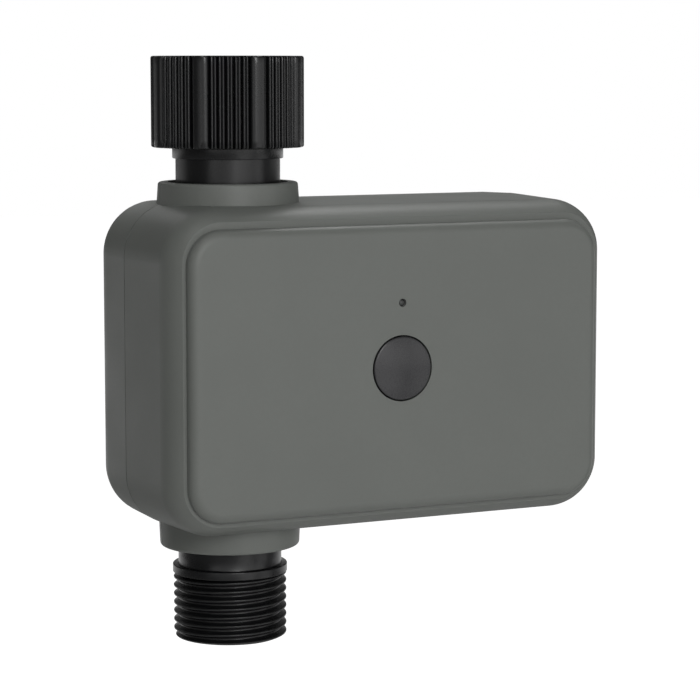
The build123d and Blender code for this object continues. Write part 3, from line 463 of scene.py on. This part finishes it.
def add_outlet():
    """Outlet tube: neck with a seal groove, flat flange, hose thread, and a smooth bore inside."""
    bore_r, neck_r, flange_r, crest_r, tip_r = 9.0, 12.33, 13.69, 13.5, 11.6
    top, flange_top, flange_bottom, end = -62.2, -120.5, -122.5, -138.0
    groove_top, groove_bottom, groove_r = -63.5, -65.5, 11.03
    top_chamfer, flange_soft, flange_chamfer, mouth_chamfer = 0.3, 0.25, 0.15, 0.6
    ring_step, tip_slope, tip_height = 0.085, 1.1, 0.55
    angles = circle(240)

    def ring(radius, height):
        return ring_points(angles, [radius] * len(angles), height)

    rings = [ring(bore_r, top), ring(neck_r - top_chamfer, top), ring(neck_r, top - top_chamfer)]
    rings += [ring(neck_r, groove_top), ring(groove_r, groove_top), ring(groove_r, groove_bottom),
              ring(neck_r, groove_bottom)]
    rings += [ring(neck_r, z) for z in (-90.0, -118.0, flange_top + flange_soft)]
    rings += [ring(neck_r + 0.07, flange_top + 0.07), ring(neck_r + flange_soft, flange_top)]
    rings += [ring(flange_r - flange_soft + flange_soft * math.sin(a),
                   flange_top - flange_soft + flange_soft * math.cos(a))
              for a in (0.0, 0.4, 0.8, 1.2, 1.57)]
    rings += [ring(flange_r, flange_bottom + flange_chamfer),
              ring(flange_r - flange_chamfer, flange_bottom)]
    for z in steps(flange_bottom, end, ring_step):
        limit = crest_r - tip_slope * max(0.0, end + tip_height - z)
        rings.append(ring_points(angles, [min(crest_r - thread_dip(a, z), limit) for a in angles], z))
    rings += [ring(tip_r, end), ring(bore_r + mouth_chamfer, end), ring(bore_r, end + mouth_chamfer)]
    rings += [ring(bore_r, z) for z in (-130.0, -110.0, -90.0, -72.0)]
    ring_piece("outlet_fitting", rings, "housing", "outlet_tube")


# The nut's grip: angles in degrees from a lobe's middle
LOBES = 8
SECTOR = 360.0 / LOBES
LOBE_HALF = 6.9
RIB_STEP = 6.0
RIBS = [SECTOR / 2 + RIB_STEP * k for k in range(-2, 3)]
GROOVE_R, RIB_R, LOBE_R = 16.6, 17.98, 18.3
LOBE_FOOT = 0.35          # height of a lobe's edge over the groove
RIB_PROFILE = [    # degrees from a rib's notch, depth below its crest
    (0.0, 0.55), (0.3, 0.3), (0.55, 0.1), (0.9, 0.02), (1.3, 0.0),
    (1.7, 0.05), (2.05, 0.16), (2.3, 0.36), (2.5, 0.75), (3.0, 1.4),
]
ANGLE_MARGIN = 1e-6


def nut_radius(degrees):
    """Outside radius of the nut: broad lobes, with notched ribs between them."""
    away = (degrees + SECTOR / 2) % SECTOR - SECTOR / 2
    if abs(away) < LOBE_HALF + ANGLE_MARGIN:
        swell = max(0.0, 1 - (abs(away) / LOBE_HALF) ** 3.2)
        return GROOVE_R + LOBE_FOOT + (LOBE_R - GROOVE_R - LOBE_FOOT) * swell ** 0.55
    reach = abs((degrees % SECTOR - SECTOR / 2 + RIB_STEP / 2 * len(RIBS)) % RIB_STEP - RIB_STEP / 2)
    for (near, high), (far, low) in zip(RIB_PROFILE, RIB_PROFILE[1:]):
        if reach <= far + ANGLE_MARGIN:
            return RIB_R - high - (low - high) * (reach - near) / (far - near)
    return GROOVE_R


def nut_angles():
    """Angles for the nut's rings, in degrees: close together at the ribs' edges and notches."""
    half = [reach for reach, _ in RIB_PROFILE]
    sector = [-6.9, -6.7, -6.3, -5.6, -4.6, -3.4, -2.0, -0.7, 0.7, 2.0, 3.4, 4.6, 5.6, 6.3, 6.7, 6.9, 7.5]
    for rib in RIBS:
        sector += [rib - d for d in half[-2:0:-1]] + [rib + d for d in half]
    return [SECTOR * k + a for k in range(LOBES) for a in sector]


def add_nut():
    """Swivel nut: ribbed grip with rounded rims, female hose thread, and the skirt round the neck."""
    turn, height, skirt_end = 0.6, 21.3, -23.9
    bore_r, relief_r, skirt_r, hole_r, core_r, lip_r = 13.6, 14.0, 13.08, 12.43, 15.2, 15.1
    bore_end, floor = -12.0, -18.3
    soft, mouth_chamfer = 0.2, 0.65
    thread_height, fade_height, ring_step = 0.75, 0.8, 0.2
    degrees = nut_angles()
    angles = [math.radians(a + turn) for a in degrees]
    outside = [nut_radius(a) for a in degrees]

    def ring(radius, z):
        return ring_points(angles, [radius] * len(angles), z)

    def grip(sunk, z):
        return ring_points(angles, [max(r - sunk, core_r) for r in outside], z)

    rings = [ring(hole_r, skirt_end + soft), ring(hole_r + soft, skirt_end),
             ring(skirt_r - soft, skirt_end), ring(skirt_r - 0.06, skirt_end + 0.06),
             ring(skirt_r, skirt_end + soft), ring(skirt_r, -height - soft),
             ring(skirt_r + soft, -height)]
    rings += [grip(0.5, -height), grip(0.15, -height + 0.12), grip(0.0, -height + 0.4)]
    rings += [grip(0.0, z) for z in steps(-height + 2.0, -2.0, 4.0)]
    rings += [grip(0.0, -0.5), grip(0.08, -0.24), grip(0.24, -0.08), grip(0.5, 0.0)]
    rings += [ring(lip_r, 0.0), ring(bore_r + mouth_chamfer, 0.0)]
    for z in steps(-mouth_chamfer, bore_end, ring_step):
        fade = max(min(1.0, (-mouth_chamfer - z) / fade_height, (z - bore_end) / fade_height), 0.0)
        radii = [bore_r - thread_height * fade * (1 - thread_dip(a, z) / THREAD_DEPTH) for a in angles]
        rings.append(ring_points(angles, radii, z))
    rings += [ring(relief_r, bore_end - 0.05), ring(relief_r, floor), ring(hole_r, floor)]
    ring_piece("swivel_nut_ribbed", rings, "nut", "swivel_nut")


# Screws, springs, cells and filter

def cross_recess(head_r, top, depth):
    """Tapered cross that is cut out of a screw's head, as points and faces."""
    verts, faces = [], []
    for turn in (0.0, math.pi / 2):
        rings = []
        for z, share in ((top - depth, 0.45), (top + 0.2, 1.0)):
            long, wide = 0.62 * head_r * share, 0.17 * head_r * (0.6 + 0.4 * share)
            corners = [(-long, -wide), (long, -wide), (long, wide), (-long, wide)]
            rings.append([(x * math.cos(turn) - y * math.sin(turn),
                           x * math.sin(turn) + y * math.cos(turn), z) for x, y in corners])
        append_rings(verts, faces, rings)
    return verts, faces


def cut(mesh, cutter):
    """Mesh with the cutter taken away."""
    solid = bpy.data.objects.new("solid", mesh)
    tool = bpy.data.objects.new("tool", cutter)
    for obj in (solid, tool):
        scene.collection.objects.link(obj)
    difference = solid.modifiers.new("cut", "BOOLEAN")
    difference.operation = "DIFFERENCE"
    difference.solver = "EXACT"
    difference.use_self = True
    difference.object = tool
    done = solid.evaluated_get(bpy.context.evaluated_depsgraph_get())
    result = bpy.data.meshes.new_from_object(done)
    for obj in (solid, tool):
        bpy.data.objects.remove(obj)
    return result


def screw_mesh(shank_r, head_r, length, head, pitch):
    """Screw along +Z with its tip at 0: cut thread, pan head with a rounded rim and a cross recess."""
    sides = 20
    root = shank_r * 0.78
    root_share = 0.45    # of a pitch: how much of it is the thread's root
    tip_height, run_in, run_out = 0.6, 1.5, 0.8
    neck = length - head
    thread_end = neck - 0.5
    rings = turned([(0.05, 0.0), (root * 0.6, 0.5)], sides)
    for z in steps(tip_height, thread_end, pitch / 5):
        ring = []
        fade = min(1.0, (z - tip_height) / run_in, (thread_end - z) / run_out)
        for k, a in enumerate(circle(sides)):
            away = abs((z / pitch - k / sides) % 1.0 - 0.5) * 2
            rise = max(0.0, away - root_share) / (1 - root_share) * fade
            r = root + (shank_r - root) * max(rise, 0.0)
            ring.append((r * math.cos(a), r * math.sin(a), z))
        rings.append(ring)
    rings += turned([(shank_r * 0.95, neck - 0.3), (shank_r * 0.95, neck)], sides)
    verts, faces = [], []
    append_rings(verts, faces, rings)
    soft = min(0.45, head * 0.4)
    profile = [(head_r - 0.08, neck), (head_r, neck + 0.08), (head_r, length - soft)]
    profile += [(head_r - soft + soft * math.cos(a), length - soft + soft * math.sin(a))
                for a in (0.4, 0.8, 1.2, 1.57)]
    head_verts, head_faces = [], []
    append_rings(head_verts, head_faces, turned(profile, 40))
    recess = outward_mesh("recess", *cross_recess(head_r, length, 0.62 * head))
    cap = cut(outward_mesh("head", head_verts, head_faces), recess)
    base = len(verts)
    verts += [tuple(v.co) for v in cap.vertices]
    faces += [tuple(base + i for i in polygon.vertices) for polygon in cap.polygons]
    return verts, faces


def add_screws(name, node, body, shank_r, head_r, head, pitch):
    """Detailed screws in the places of a node's solids, with their heads towards +Y."""
    axis = Vector((0, 1, 0))
    turn = Vector((0, 0, 1)).rotation_difference(axis).to_matrix()
    verts, faces = [], []
    shapes = {}
    for number, (low, high, _) in enumerate(islands(node)):
        tip, end = sorted((low.dot(axis), high.dot(axis)))
        length = round(end - tip, 3)
        if length not in shapes:
            shapes[length] = screw_mesh(shank_r, head_r, length, head, pitch)
        middle = (low + high) / 2
        foot = middle + axis * (tip - middle.dot(axis))
        spin = Matrix.Rotation(0.7 + 1.3 * number, 3, "Z")    # each cross stands at another angle
        base = len(verts)
        verts += [tuple(foot + turn @ (spin @ Vector(v))) for v in shapes[length][0]]
        faces += [tuple(base + i for i in face) for face in shapes[length][1]]
    make_piece(name, verts, faces, body, node, 32.0)


def add_springs():
    """Conical contact springs, each one wire with flat end turns."""
    wire_r, turns, turn_points = 0.38, 5.0, 20
    flat, rising = 0.16, 0.68    # of the wire's length
    verts, faces = [], []
    for low, high, points in islands("battery_springs"):
        middle = (low + high) / 2
        base_x, tip_x = low.x, high.x
        if spread(points, middle, base_x) <= spread(points, middle, tip_x):
            base_x, tip_x = tip_x, base_x
        base_r, tip_r = (spread(points, middle, x) - wire_r for x in (base_x, tip_x))
        inward = 1 if tip_x > base_x else -1
        path = []
        for i in range(int(turns * turn_points) + 1):
            t = i / (turns * turn_points)
            rise = min(max((t - flat) / rising, 0.0), 1.0)
            reach = base_r + (tip_r - base_r) * t
            a = 2 * math.pi * turns * t
            x = base_x + inward * (wire_r + rise * (abs(tip_x - base_x) - 2 * wire_r))
            path.append((x, middle.y + reach * math.cos(a), middle.z + reach * math.sin(a)))
        append_tube(verts, faces, path, wire_r, 10)
    make_piece("battery_coils", verts, faces, "housing", "battery_springs", 50.0)


def add_cells():
    """Four cells: shrink wrap turned over both rims, bare ends, a rolled nub and a paler band."""
    sides, cell_r = 64, 7.25
    wrapped, bare, banded = 0, 1, 2    # places in the piece's list of materials
    verts, faces, kinds = [], [], []
    for low, high, points in islands("battery_cells"):
        middle = (low + high) / 2
        plus_x, minus_x = high.x, low.x
        if spread(points, middle, plus_x) >= spread(points, middle, minus_x):
            plus_x, minus_x = minus_x, plus_x
        way = 1 if plus_x > minus_x else -1
        length = abs(plus_x - minus_x)
        shoulder = length - 1.0
        minus_end = [(0.02, 0.18), (4.2, 0.18), (4.6, 0.0), (5.9, 0.0), (6.1, 0.25)]
        wrap = [(6.35, 0.1), (6.75, 0.02), (7.1, 0.18), (cell_r, 0.55), (cell_r, 4.0),
                (cell_r, shoulder - 12.0)]
        band = [(cell_r, shoulder - 11.9), (cell_r, shoulder - 0.6), (7.08, shoulder - 0.2),
                (6.7, shoulder - 0.02), (5.3, shoulder), (5.15, shoulder - 0.25)]
        plus_end = [(2.95, shoulder - 0.25), (2.75, shoulder), (2.75, length - 0.35),
                    (2.6, length - 0.08), (2.3, length), (0.02, length)]
        profile = minus_end + wrap + band + plus_end
        rings = [[(minus_x + way * z, middle.y + r * math.cos(a), middle.z + r * math.sin(a))
                  for a in circle(sides)] for r, z in profile]
        append_rings(verts, faces, rings)
        for kind, count in ((bare, len(minus_end) - 1), (wrapped, len(wrap)), (banded, len(band)),
                            (bare, len(plus_end))):
            kinds += [kind] * count * sides
        kinds += [bare, bare]
    cells = make_piece("battery_cells_wrapped", verts, faces, "housing", "battery_cells")
    colour_bands(cells, kinds, "steel", "cell_band")


def add_filter():
    """Inlet filter: flat rim, ribbed frame and a woven mesh cup."""
    rim_z, rim, rim_r, cup_r, depth = -15.0, 0.8, 13.2, 8.5, 8.0
    wire_r, wire_gap, wire_count, weave = 0.13, 0.8, 60, 0.07
    net_r, net_half = 7.75, 7.2    # radius of the cup's floor and how far its outermost wires lie
    mesh_r, post_r = cup_r - 0.45, 0.38
    floor_z = rim_z - depth
    verts, faces = [], []
    flange = [(cup_r - 0.5, rim_z - 0.1), (cup_r - 0.4, rim_z), (rim_r - 0.15, rim_z),
              (rim_r, rim_z - 0.15), (rim_r, rim_z - rim + 0.15), (rim_r - 0.15, rim_z - rim),
              (cup_r, rim_z - rim), (cup_r, rim_z - 1.6), (cup_r - 0.5, rim_z - 1.6)]
    append_rings(verts, faces, turned(flange, 96), closed=True)
    hoop = [(cup_r - 0.9, floor_z + 0.1), (cup_r - 0.9, floor_z + 0.7), (cup_r, floor_z + 0.7),
            (cup_r, floor_z + 0.2), (cup_r - 0.2, floor_z), (cup_r - 0.8, floor_z)]
    append_rings(verts, faces, turned(hoop, 96), closed=True)
    for a in circle(6):
        path = [((cup_r - 0.4) * math.cos(a), (cup_r - 0.4) * math.sin(a), z)
                for z in (rim_z - 1.2, floor_z + 0.4)]
        append_tube(verts, faces, path, post_r, 10)
    for k, a in enumerate(circle(wire_count)):
        side = weave if k % 2 else -weave
        path = [((mesh_r + side * (-1) ** i) * math.cos(a), (mesh_r + side * (-1) ** i) * math.sin(a), z)
                for i, z in enumerate(steps(rim_z - 1.4, floor_z + 0.5, wire_gap))]
        append_tube(verts, faces, path, wire_r, 6)
    for i, z in enumerate(steps(rim_z - 1.8, floor_z + 0.9, wire_gap)):
        path = []
        for k in range(wire_count * 2):
            a = math.pi * k / wire_count
            swing = weave * math.cos(math.pi * (k / 2 + i))
            path.append(((mesh_r + swing) * math.cos(a), (mesh_r + swing) * math.sin(a), z))
        append_tube(verts, faces, path, wire_r, 6, closed=True)
    for way in (0, 1):
        for i, place in enumerate(steps(-net_half, net_half, wire_gap)):
            half = math.sqrt(net_r**2 - place**2)
            path = []
            for j, travel in enumerate(steps(-half, half, wire_gap)):
                lift = floor_z + 0.4 + weave * (-1) ** (i + j + way)
                path.append((travel, place, lift) if way == 0 else (place, travel, lift))
            append_tube(verts, faces, path, wire_r, 6)
    make_piece("filter_mesh_cup", verts, faces, "housing", "filter_screen", 40.0)


# Button and light

def front_part(node):
    """Sizes of a turned part in the panel: axis, flange radius, its ends and its flange's faces along Y,
    and its points as pairs of radius and Y."""
    low, high = (Vector(corner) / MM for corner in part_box(node))
    x, z, flange_r = (low.x + high.x) / 2, (low.z + high.z) / 2, (high.x - low.x) / 2
    spots = [v.co / MM for v in nodes[node].data.vertices]
    points = [(math.hypot(p.x - x, p.z - z), p.y) for p in spots]
    flange = [y for r, y in points if r > flange_r - 0.1]
    return (x, z), flange_r, (low.y, high.y), (min(flange), max(flange)), points


def add_button():
    """Push button: domed face with a rounded rim, on its flange and stem; the cap's flank is painted near
    black, a painted shadow in the gap round the button.
    """
    (x, z), flange_r, (front, tip), (flange_front, flange_back), _ = front_part("button_cap")
    cap_r, stem_r, sag, soft, flange_soft, sides = 7.45, 2.0, 0.85, 0.3, 0.2, 128
    sphere_r = (cap_r**2 + sag**2) / (2 * sag)
    profile = [(0.02, tip), (stem_r - 0.3, tip), (stem_r, tip - 0.3), (stem_r, flange_back),
               (flange_r - flange_soft, flange_back), (flange_r, flange_back - flange_soft),
               (flange_r, flange_front + flange_soft), (flange_r - flange_soft, flange_front),
               (cap_r, flange_front)]
    # ring where the cap's flank begins; the flank is painted near black as painted shadow in the gap
    shaded_flank = len(profile) - 1
    rim = front + sphere_r - math.sqrt(sphere_r**2 - (cap_r - soft)**2) + soft
    profile += [(cap_r - soft + soft * math.cos(a), rim - soft * math.sin(a))
                for a in (0.0, 0.35, 0.7, 1.05, 1.35)]
    for r in (7.0, 6.5, 5.8, 5.0, 4.0, 3.0, 2.0, 1.0, 0.02):
        profile.append((r, front + sphere_r - math.sqrt(sphere_r**2 - r**2)))
    verts, faces = [], []
    append_rings(verts, faces, turned_front(profile, x, z, sides))
    button = make_piece("button_domed", verts, faces, "button", "button_cap", 32.0)
    # the flank of the cap below the panel's face gets the near black look: painted shadow in the gap
    # round the button
    kinds = [1 if i == shaded_flank else 0 for i in range(len(profile) - 1) for _ in range(sides)] + [0, 0]
    colour_bands(button, kinds, "fitting_plastic")


def add_light():
    """Light pipe: a small domed lens in a sleeve painted dark, a painted shadow of the hole round the
    lens, in front of its flange and pin.
    """
    (x, z), flange_r, (front, tip), (flange_front, flange_back), points = front_part("light_pipe")
    pipe_r = max(r for r, y in points if y < front + 0.05)
    pin_r = max(r for r, y in points if y > tip - 0.05)
    lens_r, lens_sag, sides = 0.6, 0.25, 64
    profile = [(0.02, tip), (pin_r, tip), (pin_r, flange_back), (flange_r, flange_back),
               (flange_r, flange_front), (pipe_r, flange_front), (pipe_r, front + 0.35)]
    # ring where the sleeve begins; its wall and rim are painted dark as painted shadow of the hole round
    # the lens
    sleeve = len(profile)
    profile += [(pipe_r - 0.04, front + 0.3), (lens_r, front + 0.5)]
    profile += [(lens_r * math.cos(a), front + lens_sag - lens_sag * math.sin(a))
                for a in (0.0, 0.4, 0.8, 1.2, 1.53)]
    verts, faces = [], []
    append_rings(verts, faces, turned_front(profile, x, z, sides))
    light = make_piece("light_lens_domed", verts, faces, "housing", "light_pipe", 40.0)
    # the sleeve's wall and rim round the lens get the dark look: painted shadow of the hole round the
    # lens
    dark = range(sleeve - 2, sleeve + 1)
    kinds = [1 if i in dark else 0 for i in range(len(profile) - 1) for _ in range(sides)] + [0, 0]
    colour_bands(light, kinds, "dark_part")


add_outlet()
add_nut()
add_screws("case_screws_cross", "case_screws", "housing", shank_r=1.5, head_r=2.7, head=2.2, pitch=1.1)
add_screws("door_screws_cross", "door_screws", "door", shank_r=1.5, head_r=2.8, head=1.2, pitch=1.1)
add_screws("board_screws_cross", "board_screws", "housing", shank_r=1.0, head_r=2.0, head=1.4, pitch=0.8)
add_springs()
add_cells()
add_filter()
add_button()
add_light()


# Studio

MIDDLE = Vector((0.03, 0.0, -0.072))       # what the lights look at
FLOOR_Z, FLOOR_HALF = -0.42, 6.0
BACKDROP = Vector((0.44, 0.89, -0.11))     # direction of the studio's white backdrop
AMBIENT, BACK_FILL, ROOM = 0.07, 0.33, 0.12    # strengths of the world's light
WHITE = (1.0, 1.0, 1.0)


def coordinate_along(tree, place, direction):
    dot = tree.nodes.new("ShaderNodeVectorMath")
    dot.operation = "DOT_PRODUCT"
    dot.inputs[1].default_value = direction
    tree.links.new(place, dot.inputs[0])
    return dot.outputs["Value"]


def ray_kinds(tree):
    """Whether a ray comes from the camera, and whether it is mirrored or seen through."""
    path = tree.nodes.new("ShaderNodeLightPath")
    kinds = [path.outputs[name] for name in ("Is Glossy Ray", "Is Transmission Ray")]
    mirrored = math_node(tree, "MAXIMUM", *kinds)
    return path.outputs["Is Camera Ray"], mirrored


def add_world():
    """Soft light, stronger from the backdrop; mirrored rays see a white backdrop in a darker room."""
    world = bpy.data.worlds.new("studio")
    scene.world = world
    world.use_nodes = True
    tree = world.node_tree
    tree.nodes.clear()
    output = tree.nodes.new("ShaderNodeOutputWorld")
    background = tree.nodes.new("ShaderNodeBackground")
    tree.links.new(background.outputs["Background"], output.inputs["Surface"])
    place = tree.nodes.new("ShaderNodeTexCoord")
    towards = coordinate_along(tree, place.outputs["Generated"], BACKDROP)
    shown = ramp(tree, towards, 0.95, 0.99, ROOM, 1.0)
    fill = ramp(tree, towards, 0.1, 0.9, AMBIENT, BACK_FILL)
    from_camera, mirrored = ray_kinds(tree)
    unmirrored = math_node(tree, "SUBTRACT", 1.0, mirrored)
    soft = math_node(tree, "ADD", math_node(tree, "MULTIPLY", mirrored, shown),
                     math_node(tree, "MULTIPLY", unmirrored, fill))
    background.inputs["Color"].default_value = (*WHITE, 1.0)
    tree.links.new(math_node(tree, "MAXIMUM", soft, from_camera), background.inputs["Strength"])


def add_floor():
    """Pale floor well below the object: white far off and towards the backdrop, greyer under it."""
    near_shine, far_shine = 0.5, 0.97
    mesh = bpy.data.meshes.new("floor")
    corners = ((-1, -1), (1, -1), (1, 1), (-1, 1))
    mesh.from_pydata([(x * FLOOR_HALF, y * FLOOR_HALF, FLOOR_Z) for x, y in corners], [], [(0, 1, 2, 3)])
    floor = bpy.data.objects.new("floor", mesh)
    scene.collection.objects.link(floor)
    material, tree, shader, place = node_material("floor")
    specks = noise(tree, place, 0.002, 2.0)
    speckled = mix_colour(tree, specks, shade(WHITE, 0.80), shade(WHITE, 0.83))
    tree.links.new(speckled, shader.inputs["Base Color"])
    shader.inputs["Roughness"].default_value = 0.9
    shader.inputs["Specular IOR Level"].default_value = 0.2
    shader.inputs["Emission Color"].default_value = (*WHITE, 1.0)
    reach = tree.nodes.new("ShaderNodeVectorMath")
    reach.operation = "LENGTH"
    tree.links.new(place, reach.inputs[0])
    from_camera, mirrored = ray_kinds(tree)
    seen = math_node(tree, "MULTIPLY", from_camera,
                     ramp(tree, reach.outputs["Value"], 0.5, 1.1, near_shine, far_shine))
    shown = math_node(tree, "MULTIPLY", mirrored,
                      ramp(tree, coordinate_along(tree, place, BACKDROP), 0.7, 1.5, 0.0, far_shine))
    tree.links.new(math_node(tree, "MAXIMUM", seen, shown), shader.inputs["Emission Strength"])
    mesh.materials.append(material)


def area_light(azimuth, elevation, distance, size, power):
    """Soft rectangular light that looks at the object's middle from that direction, in degrees."""
    name = f"light_{azimuth}_{elevation}"
    data = bpy.data.lights.new(name, "AREA")
    data.shape = "RECTANGLE"
    data.size, data.size_y = size
    data.energy = power
    light = bpy.data.objects.new(name, data)
    back = view_back(math.radians(azimuth), math.radians(elevation))
    light.location = MIDDLE + distance * back
    light.rotation_euler = back.to_track_quat("Z", "Y").to_euler()
    scene.collection.objects.link(light)


FAR, NEAR = 0.9, 0.75
WIDE, SMALL, LOW = (0.36, 0.36), (0.25, 0.25), (0.4, 0.2)
LIGHTS = (    # azimuth, elevation, distance, size, watts
    (-58, 5, FAR, SMALL, 0.20),
    (-50, 62, FAR, SMALL, 0.82),
    (-40, 5, FAR, WIDE, 0.27),
    (-30, 35, FAR, WIDE, 0.79),
    (-18, 5, FAR, WIDE, 0.26),
    (-8, 20, FAR, SMALL, 2.05),
    (0, 5, FAR, WIDE, 0.38),
    (10, -16, NEAR, LOW, 0.24),
    (20, 5, FAR, WIDE, 0.43),
    (45, 5, FAR, WIDE, 0.43),
    (50, -16, NEAR, LOW, 0.18),
    (100, 60, FAR, WIDE, 0.08),
    (145, 62, FAR, WIDE, 2.35),
    (180, 40, FAR, WIDE, 0.50),
)

add_world()
add_floor()
for row in LIGHTS:
    area_light(*row)

scene.view_settings.view_transform = "Standard"
